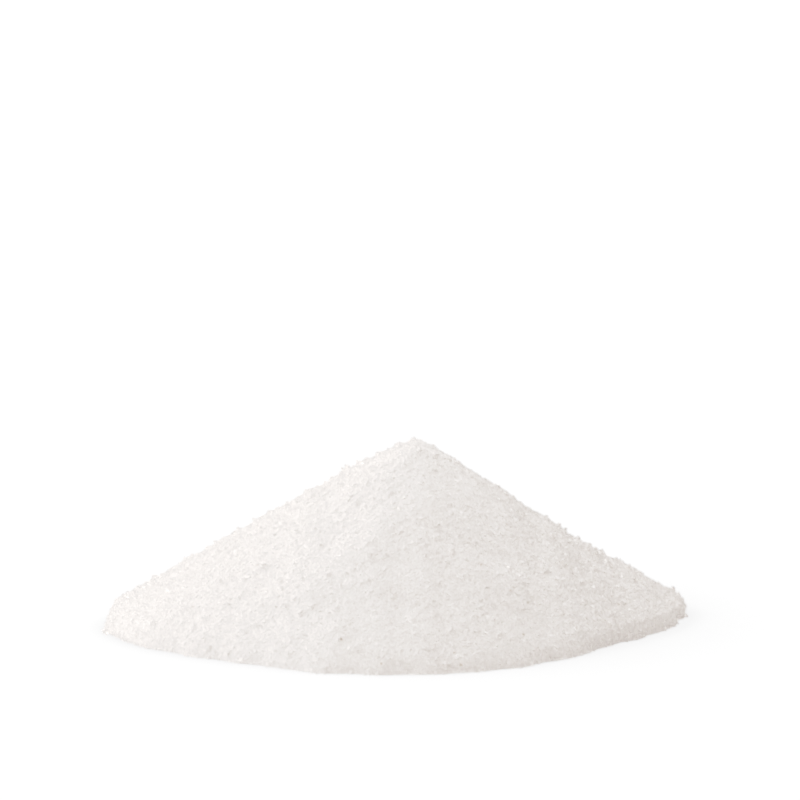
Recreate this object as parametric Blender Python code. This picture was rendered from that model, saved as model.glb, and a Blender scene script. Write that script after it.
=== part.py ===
"""A loose heap of white granulated sugar, as it lies after being poured on a flat surface.

Metres, +Z up. The origin is the middle of the footprint, on the surface that the heap lies on, and
-Y is the front. The heap is one closed solid: rings of points run from the peak down to an uneven
rim, and a flat underside closes it.
"""

import math

import bpy
import numpy as np

# Driving dimensions
MEAN_RADIUS = 0.0608  # of the footprint, from the foot of the peak to the rim
HEIGHT = 0.0387
PEAK_ROUNDING = 0.045  # how blunt the peak is, as a share of the radius

# How the footprint swells towards some sides: waves round the rim, swell as a share of the radius,
# and the direction of one crest in degrees from +X
FOOTPRINT_WAVES = (
    (1, 0.062, 172.0),
    (2, 0.044, 42.0),
    (3, 0.013, -20.0),
    (4, 0.030, 12.0),
    (5, 0.029, -16.0),
    (6, 0.017, 5.0),
)
RIM_LOBES = (9, 13, 19, 27, 38)  # small lobes where the last grains slid and stopped
RIM_LOBE_SWELL = 0.0036  # of each, as a share of the radius
STEEPEST_FADE = 8  # how fast the finest lobes fade up the flank, as a power of the way down

# The right flank sags a little, and the left one has a shoulder just below the peak
SAG = 0.008
SAG_TO_RIGHT = 0.010
SHOULDER = 0.010
SHOULDER_PLACE = 0.22  # as a share of the way from the peak to the rim
SHOULDER_SPREAD = 0.12

# The rim ends in a blunt toe, which stands tallest on the left
TOE_HEIGHT = 0.0025
TOE_RISE_TO_LEFT = 0.0013
TOE_UNEVENNESS = 0.22  # of its height
TOE_DEPTH = 0.96  # inwards from the rim, as a share of its height

# Gentle undulation of the whole surface, left by small slides: crossed waves over X and Y
SWELL_COUNT = 20
SWELL_DEPTH = 0.00026
SHORTEST_SWELL = 0.009
LONGEST_SWELL = 0.030
SEED = 7

SECTORS = 124
FLANK_RINGS = 22
TOE_RINGS = 5

SUGAR_COLOUR = (0.93, 0.915, 0.895, 1.0)
SUGAR_ROUGHNESS = 0.45

random = np.random.default_rng(SEED)
lobe_turns = random.uniform(0.0, math.tau, len(RIM_LOBES))
toe_turns = random.uniform(0.0, math.tau, len(RIM_LOBES))
swell_turns = random.uniform(0.0, math.tau, SWELL_COUNT)
swell_headings = random.uniform(0.0, math.tau, SWELL_COUNT)
swell_lengths = np.geomspace(SHORTEST_SWELL, LONGEST_SWELL, SWELL_COUNT)


def clear_scene():
    for thing in list(bpy.data.objects):
        bpy.data.objects.remove(thing, do_unlink=True)


def reach_factor(share, angle):
    """How far a point lies from the peak's foot, over share times the mean radius.

    A wave that goes n times round the rim fades up the flank as the way down to the power n - 1,
    so the top stays round and only the toe follows the lobes.
    """
    factor = np.ones(np.broadcast(share, angle).shape)
    for waves, swell, crest in FOOTPRINT_WAVES:
        fade = share ** (waves - 1)
        factor += swell * fade * np.cos(waves * (angle - math.radians(crest)))
    for waves, turn in zip(RIM_LOBES, lobe_turns):
        factor += RIM_LOBE_SWELL * share**STEEPEST_FADE * np.cos(waves * angle + turn)
    return factor


def toe_height(angle):
    facing_left = (0.5 * (1.0 - np.cos(angle))) ** 2
    uneven = sum(np.cos(waves * angle + turn) for waves, turn in zip(RIM_LOBES, toe_turns))
    even_height = TOE_HEIGHT + TOE_RISE_TO_LEFT * facing_left
    return even_height * (1.0 + TOE_UNEVENNESS * uneven / len(RIM_LOBES))


def flank_fall(share):
    """1 at the peak and 0 at the rim: a straight fall whose top is a hyperbola."""
    whole = math.hypot(1.0, PEAK_ROUNDING)
    return (whole - np.hypot(share, PEAK_ROUNDING)) / (whole - PEAK_ROUNDING)


def toe_fall(share, toe_share):
    """1 up to the toe, then a quarter ellipse down to 0 at the rim."""
    into_toe = np.clip((share - 1.0 + toe_share) / toe_share, 0.0, 1.0)
    return np.sqrt(1.0 - into_toe**2)


def undulation(x, y):
    """Plane waves of many lengths and headings, added up."""
    relief = np.zeros_like(x)
    for length, heading, turn in zip(swell_lengths, swell_headings, swell_turns):
        along = x * math.cos(heading) + y * math.sin(heading)
        relief += np.cos(math.tau * along / length + turn)
    return SWELL_DEPTH * relief / math.sqrt(0.5 * SWELL_COUNT)


def surface_height(share, angle, toe, toe_share):
    """The flank's fall with its sag and shoulder, on top of the toe's own rounded edge."""
    sag = (SAG + SAG_TO_RIGHT * np.cos(angle)) * np.sin(math.pi * share)
    below_peak = np.exp(-(((share - SHOULDER_PLACE) / SHOULDER_SPREAD) ** 2))
    shoulder = SHOULDER * below_peak * 0.5 * (1.0 - np.cos(angle))
    flank = (HEIGHT - toe) * (flank_fall(share) - sag + shoulder)
    return flank + toe * toe_fall(share, toe_share)


def heap_rings():
    """Rings of points from the top down, as an array of rings, sectors and coordinates.

    The flank's rings are evenly spaced, and the toe's follow the quarter ellipse of its edge.
    """
    angle = np.linspace(0.0, math.tau, SECTORS, endpoint=False)
    toe = toe_height(angle)
    toe_share = TOE_DEPTH * toe / MEAN_RADIUS
    down_flank = np.linspace(0.0, 1.0, FLANK_RINGS + 1)[1:, None] * (1.0 - toe_share)
    toe_turn = np.linspace(0.0, 0.5 * math.pi, TOE_RINGS + 1)[1:, None]
    down_toe = 1.0 - toe_share * (1.0 - np.sin(toe_turn))
    share = np.concatenate([down_flank, down_toe])
    reach = MEAN_RADIUS * share * reach_factor(share, angle)
    x = reach * np.cos(angle)
    y = reach * np.sin(angle)
    fade = np.clip(4.0 * (1.0 - share), 0.0, 1.0) * np.clip(4.0 * share, 0.0, 1.0)
    z = surface_height(share, angle, toe, toe_share) + fade * undulation(x, y)
    z[-1] = 0.0
    return np.stack([x, y, z], axis=-1)


def heap_points():
    """The peak, the rings, and the middle of the underside, with the footprint centred."""
    peak = [0.0, 0.0, HEIGHT]
    underside_middle = [0.0, 0.0, 0.0]
    points = np.vstack([peak, heap_rings().reshape(-1, 3), underside_middle])
    footprint_middle = 0.5 * (points.min(axis=0) + points.max(axis=0))
    points[:, :2] -= footprint_middle[:2]
    return points


def heap_faces(ring_count):
    """A fan round the peak, bands of quads between rings, and a fan under the heap."""
    ahead = [(sector + 1) % SECTORS for sector in range(SECTORS)]
    faces = [(0, 1 + sector, 1 + ahead[sector]) for sector in range(SECTORS)]
    for ring in range(ring_count - 1):
        upper = 1 + ring * SECTORS
        lower = upper + SECTORS
        for sector in range(SECTORS):
            beyond = ahead[sector]
            faces.append((upper + sector, lower + sector, lower + beyond, upper + beyond))
    rim = 1 + (ring_count - 1) * SECTORS
    underside_middle = 1 + ring_count * SECTORS
    for sector in range(SECTORS):
        faces.append((underside_middle, rim + ahead[sector], rim + sector))
    return faces


def sugar_material():
    material = bpy.data.materials.new("white_sugar")
    material.use_nodes = True
    shader = material.node_tree.nodes["Principled BSDF"]
    shader.inputs["Base Color"].default_value = SUGAR_COLOUR
    shader.inputs["Roughness"].default_value = SUGAR_ROUGHNESS
    shader.inputs["Metallic"].default_value = 0.0
    material.diffuse_color = SUGAR_COLOUR
    return material


def make_heap():
    mesh = bpy.data.meshes.new("sugar_heap")
    points = heap_points()
    mesh.from_pydata(points.tolist(), [], heap_faces(FLANK_RINGS + TOE_RINGS))
    mesh.validate()
    mesh.shade_smooth()
    mesh.set_sharp_from_angle(angle=math.radians(60.0))
    mesh.materials.append(sugar_material())
    heap = bpy.data.objects.new("sugar_heap", mesh)
    bpy.context.scene.collection.objects.link(heap)
    return heap


clear_scene()
make_heap()
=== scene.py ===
# %% [markdown]
# # A heap of granulated sugar
# This lesson gives the looks to a loose heap of white sugar. The solid model only knows the heap as
# one closed lump. Here it becomes what it really is: a dense mass inside, and tens of thousands of
# small clear crystals lying on it. We load the solid as a fixed frame, so that every piece made
# below sits exactly where the solid says.

import math

import bpy
import numpy as np
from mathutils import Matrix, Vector


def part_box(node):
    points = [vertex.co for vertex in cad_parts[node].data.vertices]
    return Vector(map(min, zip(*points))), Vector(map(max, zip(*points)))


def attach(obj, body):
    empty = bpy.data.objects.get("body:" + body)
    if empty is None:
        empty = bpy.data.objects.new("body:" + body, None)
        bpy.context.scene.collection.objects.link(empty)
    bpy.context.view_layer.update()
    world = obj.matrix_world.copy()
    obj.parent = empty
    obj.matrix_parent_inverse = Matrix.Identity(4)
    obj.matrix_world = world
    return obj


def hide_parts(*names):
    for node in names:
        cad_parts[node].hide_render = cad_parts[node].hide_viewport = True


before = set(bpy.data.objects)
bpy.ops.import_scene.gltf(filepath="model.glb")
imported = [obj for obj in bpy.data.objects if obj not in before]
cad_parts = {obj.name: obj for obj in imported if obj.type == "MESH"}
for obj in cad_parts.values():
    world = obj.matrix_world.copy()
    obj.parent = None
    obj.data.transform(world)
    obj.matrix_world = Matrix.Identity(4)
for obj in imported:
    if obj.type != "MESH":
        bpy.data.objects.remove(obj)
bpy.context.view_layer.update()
low, high = (np.array(corner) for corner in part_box("sugar_heap"))
print("the heap's box in millimetres:", np.round((high - low) * 1000.0, 1))

MM = 0.001

# %% [markdown]
# ## The heap's form
# Poured sugar runs down until its flanks lie at their resting angle, so a heap is nearly a cone with
# a slightly blunt peak. It could be sculpted by hand, but the solid was made by a rule, and the rule
# can be used again here at any fineness, with small changes: the finest lobes keep to the toe, the
# toe is lower and rounder in front, and the foot is tucked in a little at the sides. A point is named
# by two numbers: its share of the way from the peak down to the rim, and its angle round the heap.

# %% The rule of the flank
MEAN_RADIUS = 0.0608
HEIGHT = float(high[2])
PEAK_ROUNDING = 0.045
FOOTPRINT_WAVES = (
    (1, 0.062, 172.0),
    (2, 0.044, 42.0),
    (3, 0.013, -20.0),
    (4, 0.030, 12.0),
    (5, 0.029, -16.0),
    (6, 0.017, 5.0),
)
RIM_LOBES = (9, 13, 19, 27, 38)
RIM_LOBE_SWELL = 0.0036
STEEPEST_FADE = 20
SAG = 0.008
SAG_TO_RIGHT = 0.019
SHOULDER = 0.010
SHOULDER_PLACE = 0.22
SHOULDER_SPREAD = 0.12
TOE_HEIGHT = 0.0025
TOE_RISE_TO_LEFT = 0.0013
TOE_UNEVENNESS = 0.22
TOE_DEPTH = 0.96
FOOT_TUCK = 0.028
TOE_LOWER_AHEAD = 0.5
TOE_DEEPER_AHEAD = 1.8
SWELL_COUNT = 20
SWELL_DEPTH = 0.00026
SHORTEST_SWELL = 0.009
LONGEST_SWELL = 0.030
FORM_SEED = 7
form_random = np.random.default_rng(FORM_SEED)
lobe_turns = form_random.uniform(0.0, math.tau, len(RIM_LOBES))
toe_turns = form_random.uniform(0.0, math.tau, len(RIM_LOBES))
swell_turns = form_random.uniform(0.0, math.tau, SWELL_COUNT)
swell_headings = form_random.uniform(0.0, math.tau, SWELL_COUNT)
swell_lengths = np.geomspace(SHORTEST_SWELL, LONGEST_SWELL, SWELL_COUNT)


def reach_factor(share, angle):
    """Distance from the peak's foot over share times the mean radius: 1 plus waves round the rim,
    each of which fades up the flank, so that only the toe follows the small lobes."""
    factor = np.ones(np.broadcast(share, angle).shape)
    for waves, swell, crest in FOOTPRINT_WAVES:
        fade = share ** (waves - 1)
        factor += swell * fade * np.cos(waves * (angle - math.radians(crest)))
    for waves, turn in zip(RIM_LOBES, lobe_turns):
        factor += RIM_LOBE_SWELL * share**STEEPEST_FADE * np.cos(waves * angle + turn)
    return factor


def toe_height(angle):
    """Height of the blunt edge: tallest on the left, low at the front and back, and uneven."""
    facing_left = (0.5 * (1.0 - np.cos(angle))) ** 2
    uneven = sum(np.cos(waves * angle + turn) for waves, turn in zip(RIM_LOBES, toe_turns))
    even_height = TOE_HEIGHT + TOE_RISE_TO_LEFT * facing_left
    even_height = even_height * (1.0 - TOE_LOWER_AHEAD * np.sin(angle) ** 2)
    return even_height * (1.0 + TOE_UNEVENNESS * uneven / len(RIM_LOBES))


def toe_reach(angle):
    """Depth of the blunt edge as a share of the radius: its height at the sides, and deeper than
    that at the front and back, where it runs out flatter."""
    depth = TOE_DEPTH + TOE_DEEPER_AHEAD * np.sin(angle) ** 2
    return depth * toe_height(angle) / MEAN_RADIUS


def undulation(x, y):
    """Gentle swell of the whole surface: plane waves of many lengths and headings, added up."""
    relief = np.zeros_like(x)
    for length, heading, turn in zip(swell_lengths, swell_headings, swell_turns):
        along = x * math.cos(heading) + y * math.sin(heading)
        relief += np.cos(math.tau * along / length + turn)
    return SWELL_DEPTH * relief / math.sqrt(0.5 * SWELL_COUNT)


def heap_surface(share, angle):
    """The heap's surface as an array of points, centred on the foot of the peak.

    The height is a straight fall with a hyperbola for a peak, less a slight sag, plus a shoulder on
    the left, on top of a toe whose edge is a quarter ellipse, tucked in a little at both sides.
    """
    toe = toe_height(angle)
    toe_share = toe_reach(angle)
    whole = math.hypot(1.0, PEAK_ROUNDING)
    fall = (whole - np.hypot(share, PEAK_ROUNDING)) / (whole - PEAK_ROUNDING)
    sag = (SAG + SAG_TO_RIGHT * np.cos(angle)) * np.sin(math.pi * share)
    below_peak = np.exp(-(((share - SHOULDER_PLACE) / SHOULDER_SPREAD) ** 2))
    shoulder = SHOULDER * below_peak * 0.5 * (1.0 - np.cos(angle))
    into_toe = np.clip((share - 1.0 + toe_share) / toe_share, 0.0, 1.0)
    tuck = 1.0 - FOOT_TUCK * into_toe**2 * np.cos(angle) ** 2
    reach = MEAN_RADIUS * share * reach_factor(share, angle) * tuck
    x = reach * np.cos(angle)
    y = reach * np.sin(angle)
    fade = np.clip(4.0 * (1.0 - share), 0.0, 1.0) * np.clip(4.0 * share, 0.0, 1.0)
    z = (HEIGHT - toe) * (fall - sag + shoulder) + toe * np.sqrt(1.0 - into_toe**2)
    return np.stack([x, y, z + fade * undulation(x, y)], axis=-1)


def ring_shares(flank_rings, toe_rings, angle):
    """Shares for rings of points: evenly down the flank, then along the quarter ellipse."""
    toe_share = toe_reach(angle)
    down_flank = np.linspace(0.0, 1.0, flank_rings + 1)[1:, None] * (1.0 - toe_share)
    toe_turn = np.linspace(0.0, 0.5 * math.pi, toe_rings + 1)[1:, None]
    return np.concatenate([down_flank, 1.0 - toe_share * (1.0 - np.sin(toe_turn))])


rim_angle = np.linspace(0.0, math.tau, 124, endpoint=False)
rim = heap_surface(np.ones_like(rim_angle), rim_angle)
rim_middle = 0.5 * (rim.min(axis=0) + rim.max(axis=0))
PEAK_FOOT = np.array([-rim_middle[0], -rim_middle[1], 0.0])
print("the peak stands at, in millimetres:", np.round(PEAK_FOOT * 1000.0, 2))
print("rim against the solid's box:", np.round((rim.max(0) + PEAK_FOOT - high)[:2] * 1000.0, 3))

# %% [markdown]
# ## Clumps
# Sugar is never quite even: crystals hold on to each other and make small clumps one or two
# millimetres wide. A sculptor would dab them on. Here they are a field over the surface, a sum of
# short plane waves, sharpened so that clumps are rounded heads with wide hollows between them. Its
# few highest spots are raised once more, and those heads are what makes the outline crumbly. The
# core and the crystals both follow this field, so they stay together.

# %% Clump relief
CLUMP_WAVES = 44
CLUMP_RELIEF = 0.11 * MM
HEAD_RELIEF = 0.17 * MM
HEAD_LEVEL = 1.4
CLUMP_SHARPNESS = 0.35
SHORTEST_CLUMP, LONGEST_CLUMP = 1.3 * MM, 4.2 * MM
RELIEF_FADE_HEIGHT = 1.5 * MM
clump_random = np.random.default_rng(21)
clump_lengths = clump_random.uniform(SHORTEST_CLUMP, LONGEST_CLUMP, CLUMP_WAVES)
clump_headings = clump_random.uniform(0.0, math.tau, CLUMP_WAVES)
clump_turns = clump_random.uniform(0.0, math.tau, CLUMP_WAVES)


def clump_relief(points):
    """Height of the clumps in metres: a sum of plane waves plus part of its own square, and where
    the sum stands above a level, a head that sticks out further."""
    field = np.zeros(points.shape[:-1])
    for length, heading, turn in zip(clump_lengths, clump_headings, clump_turns):
        along = points[..., 0] * math.cos(heading) + points[..., 1] * math.sin(heading)
        along = along + 0.6 * points[..., 2] * math.sin(3.0 * heading)
        field += np.cos(math.tau * along / length + turn)
    field /= math.sqrt(0.5 * CLUMP_WAVES)
    heads = HEAD_RELIEF * np.clip(field - HEAD_LEVEL, 0.0, None)
    return CLUMP_RELIEF * (field + CLUMP_SHARPNESS * (field**2 - 1.0)) + heads


def surface_with_normals(share, angle):
    """Surface points and outward unit normals, from two small steps along the surface."""
    step = 1e-4
    here = heap_surface(share, angle)
    lower = heap_surface(share + step, angle)
    higher = heap_surface(np.maximum(share - step, 0.0), angle)
    left = heap_surface(share, angle + step)
    right = heap_surface(share, angle - step)
    normal = np.cross(lower - higher, left - right)
    normal /= np.maximum(np.linalg.norm(normal, axis=-1, keepdims=True), 1e-12)
    return here + PEAK_FOOT, normal


# %% [markdown]
# ## The core
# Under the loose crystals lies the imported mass. It only shows through the gaps between crystals, so
# it is one closed surface, a little inside the heap's own, with the clumps as real relief. It
# replaces the plain solid.

# %% Build the core
CORE_DEPTH = 0.20 * MM
CORE_SECTORS = 600
CORE_FLANK_RINGS = 138
CORE_TOE_RINGS = 16


def make_mesh(name, points, faces):
    """A mesh object at the origin from an array of points and an array of triangles or quads."""
    mesh = bpy.data.meshes.new(name)
    corners = faces.shape[1]
    mesh.vertices.add(len(points))
    mesh.vertices.foreach_set("co", points.astype(np.float32).ravel())
    mesh.loops.add(faces.size)
    mesh.loops.foreach_set("vertex_index", faces.astype(np.int32).ravel())
    mesh.polygons.add(len(faces))
    mesh.polygons.foreach_set("loop_start", np.arange(0, faces.size, corners, dtype=np.int32))
    mesh.update(calc_edges=True)
    piece = bpy.data.objects.new(name, mesh)
    bpy.context.scene.collection.objects.link(piece)
    return piece


def core_points():
    angle = np.linspace(0.0, math.tau, CORE_SECTORS, endpoint=False)
    share = ring_shares(CORE_FLANK_RINGS, CORE_TOE_RINGS, angle)
    points, normal = surface_with_normals(share, np.broadcast_to(angle, share.shape))
    fade = np.clip(points[..., 2:] / RELIEF_FADE_HEIGHT, 0.0, 1.0)
    points = points + normal * (fade * clump_relief(points)[..., None] - CORE_DEPTH)
    points[..., 2] = np.maximum(points[..., 2], 0.0)
    points[-1, :, 2] = 0.0
    peak = PEAK_FOOT + [0.0, 0.0, HEIGHT - CORE_DEPTH]
    return np.vstack([peak, points.reshape(-1, 3), PEAK_FOOT]), len(share)


def core_faces(rings):
    """Triangles: a fan at the peak, two for each cell of the rings, and a fan underneath."""
    sector = np.arange(CORE_SECTORS)
    beyond = (sector + 1) % CORE_SECTORS
    upper = 1 + CORE_SECTORS * np.arange(rings - 1)[:, None]
    lower = upper + CORE_SECTORS
    first = np.stack([upper + sector, lower + sector, lower + beyond], axis=-1)
    second = np.stack([upper + sector, lower + beyond, upper + beyond], axis=-1)
    rim_start = 1 + (rings - 1) * CORE_SECTORS
    last = 1 + rings * CORE_SECTORS
    top = np.stack([np.zeros_like(sector), 1 + sector, 1 + beyond], axis=-1)
    under = np.stack([np.full_like(sector, last), rim_start + beyond, rim_start + sector], axis=-1)
    return np.vstack([top, first.reshape(-1, 3), second.reshape(-1, 3), under])


points, rings = core_points()
core = make_mesh("packed_sugar", points, core_faces(rings))
core.data.shade_smooth()
print("packed core:", len(core.data.polygons), "triangles")

# %% [markdown]
# ## A flat map of the core
# For its colours to be painted onto a flat picture, the piece needs a flat map. A cone unrolls badly, but
# seen from above it is nearly a disc, and rings of the heap become rings of that disc at an even
# spacing. The underside gets a small disc of its own in the corner.

# %% A map for the core
TOP_DISC = (0.46, 0.46, 0.45)
UNDER_DISC = (0.94, 0.94, 0.05)


def disc_map(disc, radius, angle):
    """A point's place in a map that spreads the heap out as a disc, seen from above."""
    across, up, size = disc
    place = [across + size * radius * np.cos(angle), up + size * radius * np.sin(angle)]
    return np.stack(np.broadcast_arrays(*place), axis=-1)


def add_core_map(mesh, rings):
    """The flank is one large disc in the map, and the underside a small one beside it."""
    angle = np.linspace(0.0, math.tau, CORE_SECTORS, endpoint=False)
    radius = np.arange(1, rings + 1)[:, None] / rings
    flank = disc_map(TOP_DISC, radius, angle).reshape(-1, 2)
    whole = np.vstack([TOP_DISC[:2], flank, TOP_DISC[:2]])
    place = whole[core_faces(rings)]
    rim_under = disc_map(UNDER_DISC, 1.0, angle)
    middle = np.broadcast_to(UNDER_DISC[:2], rim_under.shape)
    place[-CORE_SECTORS:] = np.stack([middle, np.roll(rim_under, -1, axis=0), rim_under], axis=1)
    layer = mesh.uv_layers.new(name="OFBake")
    layer.uv.foreach_set("vector", place.astype(np.float32).ravel())


add_core_map(core.data, rings)

# %% [markdown]
# ## The crystals
# A sugar crystal is a slanted block with flat shiny faces. Crushed, sieved and tumbled in the bag,
# some are stubby, some are long, some are six-sided tablets and many are chips. Each kind is one
# small closed shape. It is written down once, about one unit long, and then copied thousands of
# times with its own stretch, wear, turn and place.

# %% Crystal shapes
def prism(outline, slant):
    """A prism over an outline in X and Y, one unit thick in Z, whose top is shifted by slant."""
    sides = len(outline)
    flat = np.array(outline, float)
    bottom = np.column_stack([flat, np.full(sides, -0.5)])
    top = np.column_stack([flat + slant, np.full(sides, 0.5)])
    ring = np.arange(sides)
    beyond = (ring + 1) % sides
    fan = np.arange(1, sides - 1)
    low_cap = np.stack([np.zeros_like(fan), fan + 1, fan], axis=-1)
    high_cap = np.stack([np.full_like(fan, sides), sides + fan, sides + fan + 1], axis=-1)
    wall_a = np.stack([ring, beyond, sides + beyond], axis=-1)
    wall_b = np.stack([ring, sides + beyond, sides + ring], axis=-1)
    return np.vstack([bottom, top]), np.vstack([low_cap, high_cap, wall_a, wall_b])


SQUARE = [(-0.5, -0.5), (0.5, -0.5), (0.5, 0.5), (-0.5, 0.5)]
HOUSE = [(-0.5, -0.5), (0.28, -0.5), (0.5, 0.0), (0.28, 0.5), (-0.5, 0.5)]
TABLET = [(-0.5, -0.2), (-0.22, -0.5), (0.3, -0.5), (0.5, 0.18), (0.24, 0.5), (-0.28, 0.5)]
WEDGE = [(-0.5, -0.42), (0.5, -0.5), (0.06, 0.5)]

# %% [markdown]
# ## Where the crystals lie
# If each crystal were dropped at random, some spots would be crowded and others bare. Seeds in a
# sunflower solve this: each next one turns by the golden angle and steps outwards so that every
# seed gets the same area. The same rule, wrapped over the heap and loosened a little, covers the
# flank evenly without rows. A few crystals have rolled off and lie just past the rim.

# %% Spread crystals over the surface
GOLDEN_ANGLE = math.pi * (3.0 - math.sqrt(5.0))
KINDS = {
    "blocks": dict(outline=SQUARE, slant=(0.16, 0.0), count=16000, size=(0.48, 0.43, 0.38)),
    "long_blocks": dict(outline=SQUARE, slant=(0.10, 0.08), count=16000, size=(0.58, 0.38, 0.34)),
    "roofed_blocks": dict(outline=HOUSE, slant=(0.12, 0.0), count=12000, size=(0.53, 0.45, 0.38)),
    "tablets": dict(outline=TABLET, slant=(0.06, 0.04), count=9600, size=(0.55, 0.50, 0.36)),
    "chips": dict(outline=WEDGE, slant=(0.05, 0.12), count=23000, size=(0.44, 0.38, 0.33)),
}
STRAY_SHARE = 0.008
STRAY_REACH = 0.004
LOOSENESS = 0.30
LIFT_JITTER, SUNK = 0.06 * MM, 0.28 * MM
grain_random = np.random.default_rng(5)
grain_count = sum(kind["count"] for kind in KINDS.values())


def area_shares(samples):
    """Share of the surface area above each of many rings, for the mean shape of the heap."""
    share = np.linspace(0.0, 1.0, samples)
    angle = np.linspace(0.0, math.tau, 72, endpoint=False)
    grid = heap_surface(share[:, None], np.broadcast_to(angle, (samples, 72)))
    down = np.linalg.norm(np.diff(grid, axis=0), axis=-1).mean(axis=1)
    reach = np.linalg.norm(grid[..., :2], axis=-1).mean(axis=1)
    band = down * 0.5 * (reach[1:] + reach[:-1])
    return share, np.concatenate([[0.0], np.cumsum(band)]) / band.sum()


def sunflower(count, looseness, draw):
    """Shares and angles of seeds that each get the same area, shifted by part of their spacing."""
    share, area = area_shares(4000)
    seed = np.arange(count) + 0.5
    down = np.interp(seed / count, area, share)
    angle = seed * GOLDEN_ANGLE
    spacing = 1.0 / math.sqrt(count)
    down = down + looseness * spacing * draw.normal(size=count)
    angle = angle + looseness * spacing * draw.normal(size=count) * 2.0 / np.maximum(down, spacing)
    return np.clip(down, 0.0, 1.0), angle


def turned_frames(normal, tilt, draw):
    """One rotation matrix for each crystal: its Z near the normal, tilted, and spun at random."""
    count = len(normal)
    lean = draw.normal(size=(count, 3)) * tilt[:, None]
    up = normal + lean
    up /= np.linalg.norm(up, axis=1, keepdims=True)
    aside = draw.normal(size=(count, 3))
    aside -= up * np.sum(aside * up, axis=1, keepdims=True)
    aside /= np.linalg.norm(aside, axis=1, keepdims=True)
    return np.stack([aside, np.cross(up, aside), up], axis=-1)


share, angle = sunflower(grain_count, LOOSENESS, grain_random)
strayed = grain_random.uniform(size=grain_count) < STRAY_SHARE
strayed &= share > 0.5
share[strayed] = 1.0 + STRAY_REACH * np.abs(grain_random.normal(size=strayed.sum()))
spots, normals = surface_with_normals(share, angle)
fade = np.clip(spots[:, 2] / RELIEF_FADE_HEIGHT, 0.0, 1.0)
lift = fade * clump_relief(spots) + grain_random.normal(size=grain_count) * LIFT_JITTER - SUNK
spots = spots + normals * lift[:, None]
order = grain_random.permutation(grain_count)
print(grain_count, "crystals, of which", strayed.sum(), "lie past the rim")

# %% [markdown]
# ## Growing the crystals
# All crystals of a kind are one mesh. Every corner of every crystal comes from a single array
# product: the kind's corners, stretched, nudged, turned and moved. A nudge of a few hundredths of a
# millimetre gives each one worn, uneven faces.
#
# Light leaves a clear crystal through all of its faces, so the side away from a lamp is not nearly
# as dark as on a painted block. Real refraction in so many crystals would take hours to compute.
# Instead each facet is shaded as if it were turned part of the way towards the heap's own surface.
# The shapes stay sharp, and only the shade on them gets softer.
#
# Sugar is not even either: one crystal in a thousand is a dull speck. In a few round patches on the
# front and on the right flank the crystals are drawn a touch darker, which is painted shade.

# %% Make the crystal meshes
UV_GRID = 160
SIZE_SPREAD = 0.17
STRETCH_SPREAD = 0.11
WEAR = 0.055
FACET_SOFTNESS = 0.7
LEAST_TILT, TILT_SPREAD = 0.20, 0.60
# painted shade: round patches where the crystals are drawn darker (across, back, spread, strength)
PAINTED_SHADE_PATCHES = ((0.008, -0.032, 0.009, 0.5), (0.044, -0.022, 0.018, 0.4))
SPECK_SHARE = 0.0008


def painted_shade_patches(points):
    """From 0 to 1, how much painted shade darkens the crystals here: a few round patches, soft-edged."""
    share = np.zeros(len(points))
    for across, back, spread, strength in PAINTED_SHADE_PATCHES:
        away = np.hypot(points[:, 0] - across, points[:, 1] - back) / spread
        share += strength * np.exp(-(away**2))
    return share


def crystal_mesh(name, kind, chosen, draw):
    template, faces = prism(kind["outline"], np.array(kind["slant"]))
    count = len(chosen)
    overall = np.exp(draw.normal(size=(count, 1)) * SIZE_SPREAD)
    stretch = np.array(kind["size"]) * MM * overall * np.exp(draw.normal(size=(count, 3)) * STRETCH_SPREAD)
    corners = template[None] + draw.normal(size=(count, len(template), 3)) * WEAR
    corners = corners * stretch[:, None, :]
    tilt = np.abs(draw.normal(size=count)) * TILT_SPREAD + LEAST_TILT
    frames = turned_frames(normals[chosen], tilt, draw)
    placed = np.einsum("gij,gkj->gki", frames, corners) + spots[chosen][:, None, :]
    sunk = np.minimum(placed[:, :, 2].min(axis=1), 0.0)
    placed[:, :, 2] -= sunk[:, None]
    grain_faces = faces[None] + (np.arange(count) * len(template))[:, None, None]
    piece = make_mesh(name, placed.reshape(-1, 3), grain_faces.reshape(-1, 3))
    soften_facets(piece.data, placed, faces, normals[chosen])
    tone = draw.uniform(size=count)
    # painted shade: inside the patches each crystal's tone is pushed towards the darker clear end
    tone_in_painted_shade = tone ** (1.0 + 2.0 * painted_shade_patches(spots[chosen]))
    tone = np.where(tone > SPECK_SHARE, np.maximum(tone_in_painted_shade, SPECK_SHARE), tone)
    add_tone(piece.data, tone, len(faces))
    add_tiles(piece.data, count, len(faces))
    return piece


def soften_facets(mesh, placed, faces, around):
    """Normals for shading: those of each facet, leaned towards the heap's own where it faces out."""
    first, second, third = (placed[:, faces[:, corner]] for corner in range(3))
    facet = np.cross(second - first, third - first)
    facet /= np.maximum(np.linalg.norm(facet, axis=-1, keepdims=True), 1e-15)
    outward = np.sum(facet * around[:, None, :], axis=-1, keepdims=True)
    lean = FACET_SOFTNESS * np.clip(outward + 0.5, 0.0, 1.0)
    soft = (1.0 - lean) * facet + lean * around[:, None, :]
    soft /= np.linalg.norm(soft, axis=-1, keepdims=True)
    mesh.normals_split_custom_set(np.repeat(soft, 3, axis=1).reshape(-1, 3))


def add_tone(mesh, tone, faces_each):
    """A number from 0 to 1 for each crystal, kept on its faces for the material to read."""
    layer = mesh.attributes.new("grain_tone", "FLOAT", "FACE")
    layer.data.foreach_set("value", np.repeat(tone, faces_each).astype(np.float32))


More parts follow.
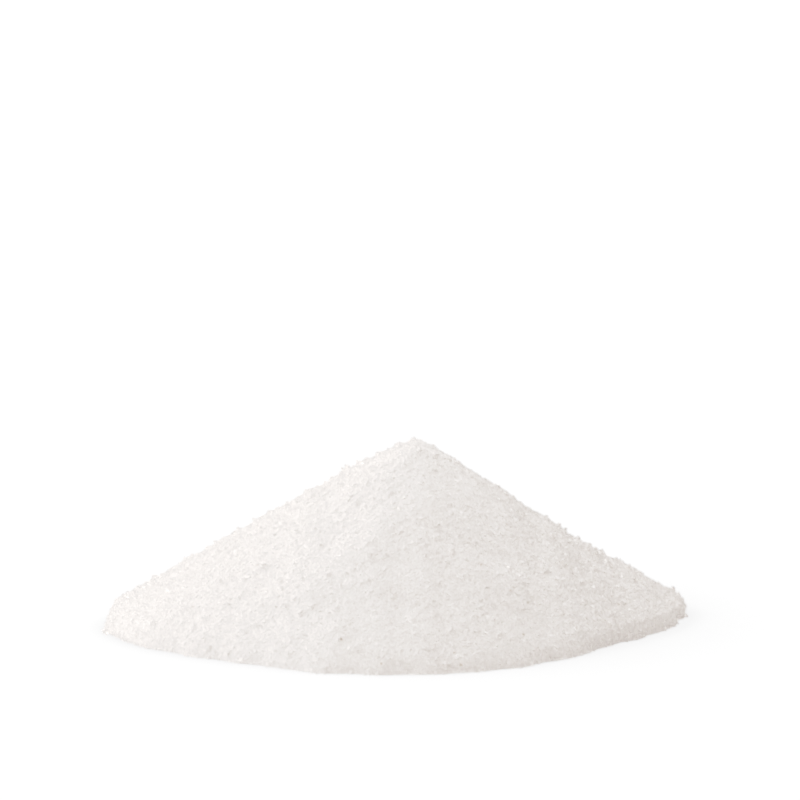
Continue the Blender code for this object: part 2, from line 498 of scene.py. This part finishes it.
def add_tiles(mesh, count, faces_each):
    """A map with one square tile for each crystal, in which each face is a small triangle."""
    tile = np.arange(count)
    column = tile % UV_GRID
    row = tile // UV_GRID
    corner = np.array([(0.25, 0.25), (0.75, 0.25), (0.5, 0.75)])
    place = np.stack([column, row], axis=-1)[:, None, None, :] + corner[None, None]
    place = np.broadcast_to(place, (count, faces_each, 3, 2)) / UV_GRID
    layer = mesh.uv_layers.new(name="OFBake")
    layer.uv.foreach_set("vector", place.astype(np.float32).ravel())


crystals = {}
used = 0
for name, kind in KINDS.items():
    chosen = order[used : used + kind["count"]]
    used += kind["count"]
    crystals[name] = crystal_mesh("sugar_" + name, kind, chosen, grain_random)
    print(name, len(crystals[name].data.polygons), "triangles")

# %% [markdown]
# ## Sugar's finish
# A single crystal is clear, but a mass of them is white, because light goes in and out of so many
# faces. What tells sugar from salt or flour is that each crystal takes a slightly different tone,
# and that its flat faces flash. So the tone comes from each crystal's own number, and the sharp
# gloss from the shader. Light that a crystal mirrors comes from inside it as well as from its skin,
# so its gloss is set twice as strong as that of a solid of the same clarity. The crystals throw no
# shadows of their own, because lamp light passes through them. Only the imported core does.

# %% Crystal tone group
def new_group(name, inputs, outputs):
    group = bpy.data.node_groups.new(name, "ShaderNodeTree")
    for title, kind, value in inputs:
        socket = group.interface.new_socket(title, in_out="INPUT", socket_type=kind)
        socket.default_value = value
    for title, kind in outputs:
        group.interface.new_socket(title, in_out="OUTPUT", socket_type=kind)
    entry = group.nodes.new("NodeGroupInput")
    leaving = group.nodes.new("NodeGroupOutput")
    return group, entry, leaving


COLOUR, FLOAT = "NodeSocketColor", "NodeSocketFloat"
SHARPEST_GLOSS, DULLEST_GLOSS = 0.05, 0.20
SUGAR_IOR = 1.54


def crystal_tone_group():
    """Number of a crystal from 0 to 1 -> colour between a clear and a milky tone, few dark."""
    group, entry, leaving = new_group(
        "crystal tone",
        [
            ("Number", FLOAT, 0.5),
            ("Milky", COLOUR, (0.95, 0.94, 0.92, 1.0)),
            ("Clear", COLOUR, (0.87, 0.86, 0.84, 1.0)),
            ("Dark", COLOUR, (0.66, 0.61, 0.56, 1.0)),
            ("Dark Share", FLOAT, SPECK_SHARE),
        ],
        [("Colour", COLOUR), ("Roughness", FLOAT)],
    )
    nodes, links = group.nodes, group.links
    blend = nodes.new("ShaderNodeMix")
    blend.data_type = "RGBA"
    links.new(entry.outputs["Number"], blend.inputs["Factor"])
    links.new(entry.outputs["Clear"], blend.inputs["A"])
    links.new(entry.outputs["Milky"], blend.inputs["B"])
    is_dark = nodes.new("ShaderNodeMath")
    is_dark.operation = "LESS_THAN"
    links.new(entry.outputs["Number"], is_dark.inputs[0])
    links.new(entry.outputs["Dark Share"], is_dark.inputs[1])
    final = nodes.new("ShaderNodeMix")
    final.data_type = "RGBA"
    links.new(is_dark.outputs[0], final.inputs["Factor"])
    links.new(blend.outputs["Result"], final.inputs["A"])
    links.new(entry.outputs["Dark"], final.inputs["B"])
    rough = nodes.new("ShaderNodeMapRange")
    rough.inputs["To Min"].default_value = SHARPEST_GLOSS
    rough.inputs["To Max"].default_value = DULLEST_GLOSS
    links.new(entry.outputs["Number"], rough.inputs["Value"])
    links.new(final.outputs["Result"], leaving.inputs["Colour"])
    links.new(rough.outputs["Result"], leaving.inputs["Roughness"])
    return group


tone_group = crystal_tone_group()

# %% Crystal material
def crystal_material(name, milky, clear):
    material = bpy.data.materials.new(name)
    material.use_nodes = True
    nodes, links = material.node_tree.nodes, material.node_tree.links
    shader = nodes["Principled BSDF"]
    number = nodes.new("ShaderNodeAttribute")
    number.attribute_name = "grain_tone"
    tone = nodes.new("ShaderNodeGroup")
    tone.node_tree = tone_group
    tone.inputs["Milky"].default_value = (*milky, 1.0)
    tone.inputs["Clear"].default_value = (*clear, 1.0)
    links.new(number.outputs["Fac"], tone.inputs["Number"])
    links.new(tone.outputs["Colour"], shader.inputs["Base Color"])
    links.new(tone.outputs["Roughness"], shader.inputs["Roughness"])
    shader.inputs["IOR"].default_value = SUGAR_IOR
    shader.inputs["Specular IOR Level"].default_value = 1.0
    return material


MILKY = (0.990, 0.974, 0.960)
CLEAR = (0.905, 0.884, 0.868)
sugar_crystal = crystal_material("clear_sugar_crystal", MILKY, CLEAR)
for piece in crystals.values():
    piece.data.materials.append(sugar_crystal)
    piece.visible_shadow = False

# %% Packed sugar material
PACKED_CELLS_A_METRE = 1900.0
PACKED_BUMP = 0.2 * MM
PACKED_ROUGHNESS = 0.5


def packed_material():
    material = bpy.data.materials.new("packed_sugar")
    material.use_nodes = True
    nodes, links = material.node_tree.nodes, material.node_tree.links
    shader = nodes["Principled BSDF"]
    place = nodes.new("ShaderNodeTexCoord")
    cells = nodes.new("ShaderNodeTexVoronoi")
    cells.inputs["Scale"].default_value = PACKED_CELLS_A_METRE
    tone = nodes.new("ShaderNodeGroup")
    tone.node_tree = tone_group
    tone.inputs["Milky"].default_value = (*MILKY, 1.0)
    tone.inputs["Clear"].default_value = (*CLEAR, 1.0)
    split = nodes.new("ShaderNodeSeparateColor")
    links.new(place.outputs["Object"], cells.inputs["Vector"])
    links.new(cells.outputs["Color"], split.inputs["Color"])
    links.new(split.outputs["Red"], tone.inputs["Number"])
    links.new(tone.outputs["Colour"], shader.inputs["Base Color"])
    bump = nodes.new("ShaderNodeBump")
    bump.inputs["Strength"].default_value = 0.5
    bump.inputs["Distance"].default_value = PACKED_BUMP
    links.new(cells.outputs["Distance"], bump.inputs["Height"])
    links.new(bump.outputs["Normal"], shader.inputs["Normal"])
    shader.inputs["Roughness"].default_value = PACKED_ROUGHNESS
    shader.inputs["IOR"].default_value = SUGAR_IOR
    return material


core.data.materials.append(packed_material())

# %% Ride on the frame
for piece in [core, *crystals.values()]:
    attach(piece, "root")
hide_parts("sugar_heap")

# %% [markdown]
# ## The stage
# White sugar on white needs care: the floor and the air behind it are brighter than white, and the
# heap is told from them only by soft shade. A studio would light the table from below for this. Here
# the floor is white card for the heap, but the camera sees it glow evenly. Near the heap that glow is
# dimmed by the share of the sky that the heap hides from it, which paints a soft contact shadow at the
# foot.

# %% Floor
# painted contact shadow: how far and how dark the floor's glow is dimmed near the heap
FLOOR_WHITE = 0.97
PAINTED_SHADE_REACH = 0.05
OPEN_FLOOR, PAINTED_SHADE_FLOOR = 1.38, 1.14
OPEN_SHARE, SHADED_SHARE = 0.955, 0.82
PAINTED_SHADE_LEAN = (-0.2, 0.0, 0.98)
FLOOR_RADIUS = 3.0
FLOOR_SIDES = 96


def make_floor():
    angle = np.linspace(0.0, math.tau, FLOOR_SIDES, endpoint=False)
    ring = FLOOR_RADIUS * np.stack([np.cos(angle), np.sin(angle), 0.0 * angle], axis=-1)
    points = np.vstack([np.zeros(3), ring])
    sector = np.arange(FLOOR_SIDES)
    beyond = (sector + 1) % FLOOR_SIDES
    faces = np.stack([np.zeros_like(sector), 1 + sector, 1 + beyond], axis=-1)
    floor = make_mesh("floor", points, faces)
    floor.data.materials.append(floor_material())


def floor_material():
    """White card that throws light back. The camera sees it glow just brighter than white, with a
    painted contact shadow: the glow is darker where the heap hides part of the sky on the bright side."""
    material = bpy.data.materials.new("white_floor")
    material.use_nodes = True
    nodes, links = material.node_tree.nodes, material.node_tree.links
    nodes.clear()
    card = nodes.new("ShaderNodeBsdfDiffuse")
    card.inputs["Color"].default_value = (FLOOR_WHITE, FLOOR_WHITE, FLOOR_WHITE, 1.0)
    lean = nodes.new("ShaderNodeCombineXYZ")
    for axis, value in zip("XYZ", PAINTED_SHADE_LEAN):
        lean.inputs[axis].default_value = value
    # painted contact shadow: an occlusion node dims the floor's glow near the heap
    sky = nodes.new("ShaderNodeAmbientOcclusion")
    sky.samples = 8
    sky.inputs["Distance"].default_value = PAINTED_SHADE_REACH
    share = nodes.new("ShaderNodeMapRange")
    share.inputs["From Min"].default_value = SHADED_SHARE
    share.inputs["From Max"].default_value = OPEN_SHARE
    share.inputs["To Min"].default_value = PAINTED_SHADE_FLOOR
    share.inputs["To Max"].default_value = OPEN_FLOOR
    seen = nodes.new("ShaderNodeEmission")
    path = nodes.new("ShaderNodeLightPath")
    mix = nodes.new("ShaderNodeMixShader")
    out = nodes.new("ShaderNodeOutputMaterial")
    links.new(lean.outputs["Vector"], sky.inputs["Normal"])
    links.new(sky.outputs["AO"], share.inputs["Value"])
    links.new(share.outputs["Result"], seen.inputs["Strength"])
    links.new(path.outputs["Is Camera Ray"], mix.inputs["Fac"])
    links.new(card.outputs["BSDF"], mix.inputs[1])
    links.new(seen.outputs["Emission"], mix.inputs[2])
    links.new(mix.outputs["Shader"], out.inputs["Surface"])
    return material


make_floor()

# %% [markdown]
# ## The light
# Most of the light is even and comes from everywhere, as in a white tent. A broad lamp close by on
# the left is nearer to the left flank than to the right one, so the light falls off across the heap.
# A smaller one behind the peak keeps the top and the far edge from going grey. Sparkle needs
# something small and bright to mirror, so the air also holds many small lamps, placed as the middles
# of random cells over the sky.

# %% Lights
def place_at(azimuth, elevation, distance):
    """A point at a distance from the heap, azimuth in degrees from +X towards +Y."""
    turn, rise = math.radians(azimuth), math.radians(elevation)
    flat = distance * math.cos(rise)
    return (flat * math.cos(turn), flat * math.sin(turn), distance * math.sin(rise))


AIR_SEEN = 1.5
AIR_LIGHT = 0.40
LAMP_LIGHT = 5.5
LAMP_SPACING = 0.16
LAMP_RADIUS = 0.20
WARM_AIR = (1.0, 0.942, 0.905)
WARM_WHITE = (1.0, 0.974, 0.952)


def make_world():
    """Even light from everywhere, with many small lamps in it for the facets to mirror.

    The lamps are the middles of Voronoi cells over the sky, their radius a share of the spacing.
    Where the camera looks straight into the air, it is plain white.
    """
    world = bpy.data.worlds.new("studio air")
    bpy.context.scene.world = world
    world.use_nodes = True
    nodes, links = world.node_tree.nodes, world.node_tree.links
    nodes.clear()
    heading = nodes.new("ShaderNodeTexCoord")
    lamps = nodes.new("ShaderNodeTexVoronoi")
    lamps.inputs["Scale"].default_value = 1.0 / LAMP_SPACING
    strength = nodes.new("ShaderNodeMapRange")
    strength.inputs["From Min"].default_value = LAMP_RADIUS
    strength.inputs["From Max"].default_value = 1.2 * LAMP_RADIUS
    strength.inputs["To Min"].default_value = LAMP_LIGHT
    strength.inputs["To Max"].default_value = AIR_LIGHT
    shines = nodes.new("ShaderNodeBackground")
    shines.inputs["Color"].default_value = (*WARM_AIR, 1.0)
    links.new(heading.outputs["Generated"], lamps.inputs["Vector"])
    links.new(lamps.outputs["Distance"], strength.inputs["Value"])
    links.new(strength.outputs["Result"], shines.inputs["Strength"])
    seen = nodes.new("ShaderNodeBackground")
    seen.inputs["Color"].default_value = (1.0, 1.0, 1.0, 1.0)
    seen.inputs["Strength"].default_value = AIR_SEEN
    path = nodes.new("ShaderNodeLightPath")
    mix = nodes.new("ShaderNodeMixShader")
    out = nodes.new("ShaderNodeOutputWorld")
    links.new(path.outputs["Is Camera Ray"], mix.inputs["Fac"])
    links.new(shines.outputs["Background"], mix.inputs[1])
    links.new(seen.outputs["Background"], mix.inputs[2])
    links.new(mix.outputs["Shader"], out.inputs["Surface"])


def turn_to(lamp, target):
    """Points a lamp's -Z at a target, with +Y up."""
    aim = Vector(target) - Vector(lamp.location)
    lamp.rotation_euler = aim.to_track_quat("-Z", "Y").to_euler()


def soft_box(name, azimuth, elevation, distance, size, power):
    """A square lamp close to the heap, so that its light falls off from one flank to the other."""
    light = bpy.data.lights.new(name, "AREA")
    light.size = size
    light.energy = power
    light.color = WARM_WHITE
    lamp = bpy.data.objects.new(name, light)
    bpy.context.scene.collection.objects.link(lamp)
    lamp.location = place_at(azimuth, elevation, distance)
    lamp.visible_camera = False
    turn_to(lamp, (0.0, 0.0, 0.4 * HEIGHT))


make_world()
soft_box("key on the left", 180.0, 40.0, 0.20, 0.32, 0.40)
soft_box("lamp behind the peak", 45.0, 68.0, 0.18, 0.20, 0.105)

# %% [markdown]
# ## The camera
# It looks along the table from the front, only about eleven degrees above it, with a long lens.
# The picture is kept a little soft, as a lens draws so small a heap.

# %% Camera
CAMERA_RISE = 10.8
CAMERA_DISTANCE = 0.48
CAMERA_LENS = 98.0
CAMERA_TILT_UP = 5.65


def make_camera():
    camera = bpy.data.cameras.new("camera")
    camera.lens = CAMERA_LENS
    camera.sensor_width = 36.0
    camera.clip_start = 0.01
    camera.clip_end = 20.0
    holder = bpy.data.objects.new("camera", camera)
    bpy.context.scene.collection.objects.link(holder)
    holder.location = place_at(-90.0, CAMERA_RISE, CAMERA_DISTANCE)
    holder.rotation_euler = (math.radians(90.0 - CAMERA_RISE + CAMERA_TILT_UP), 0.0, 0.0)
    bpy.context.scene.camera = holder


make_camera()
scene = bpy.context.scene
scene.view_settings.view_transform = "Standard"
scene.view_settings.look = "None"
scene.cycles.max_bounces = 12
scene.cycles.diffuse_bounces = 8
scene.cycles.use_denoising = True
scene.cycles.filter_width = 2.2

# %% [markdown]
# ## Keeping white from burning out
# A plain camera clips everything brighter than white, and a heap this pale would lose its grain.
# Film bends instead: above a knee, more and more light adds less and less tone. The same bend is
# drawn here as a curve, exact up to the brightest sugar, then straight up to pure white for the
# floor and the air.

# %% Film shoulder
KNEE = 0.60
SHOULDER_END, PURE_WHITE = 1.0, 1.32


def shoulder(light):
    """Straight up to the knee, and above it what is left to white, shrunk exponentially."""
    room = 1.0 - KNEE
    return np.where(light < KNEE, light, 1.0 - room * np.exp(-(light - KNEE) / room))


def bend_tones(view):
    """Gives the picture the soft shoulder, then a straight run to pure white.

    The curve's own scale runs from 0 to 1 at pure white, so light is divided by that.
    """
    view.use_curve_mapping = True
    mapping = view.curve_mapping
    mapping.white_level = (PURE_WHITE, PURE_WHITE, PURE_WHITE)
    curve = mapping.curves[3]
    steps = np.linspace(KNEE, SHOULDER_END, 7)
    for light, tone in zip(steps, shoulder(steps)):
        curve.points.new(float(light / PURE_WHITE), float(tone))
    for point in curve.points:
        point.handle_type = "VECTOR"
    mapping.update()


bend_tones(scene.view_settings)
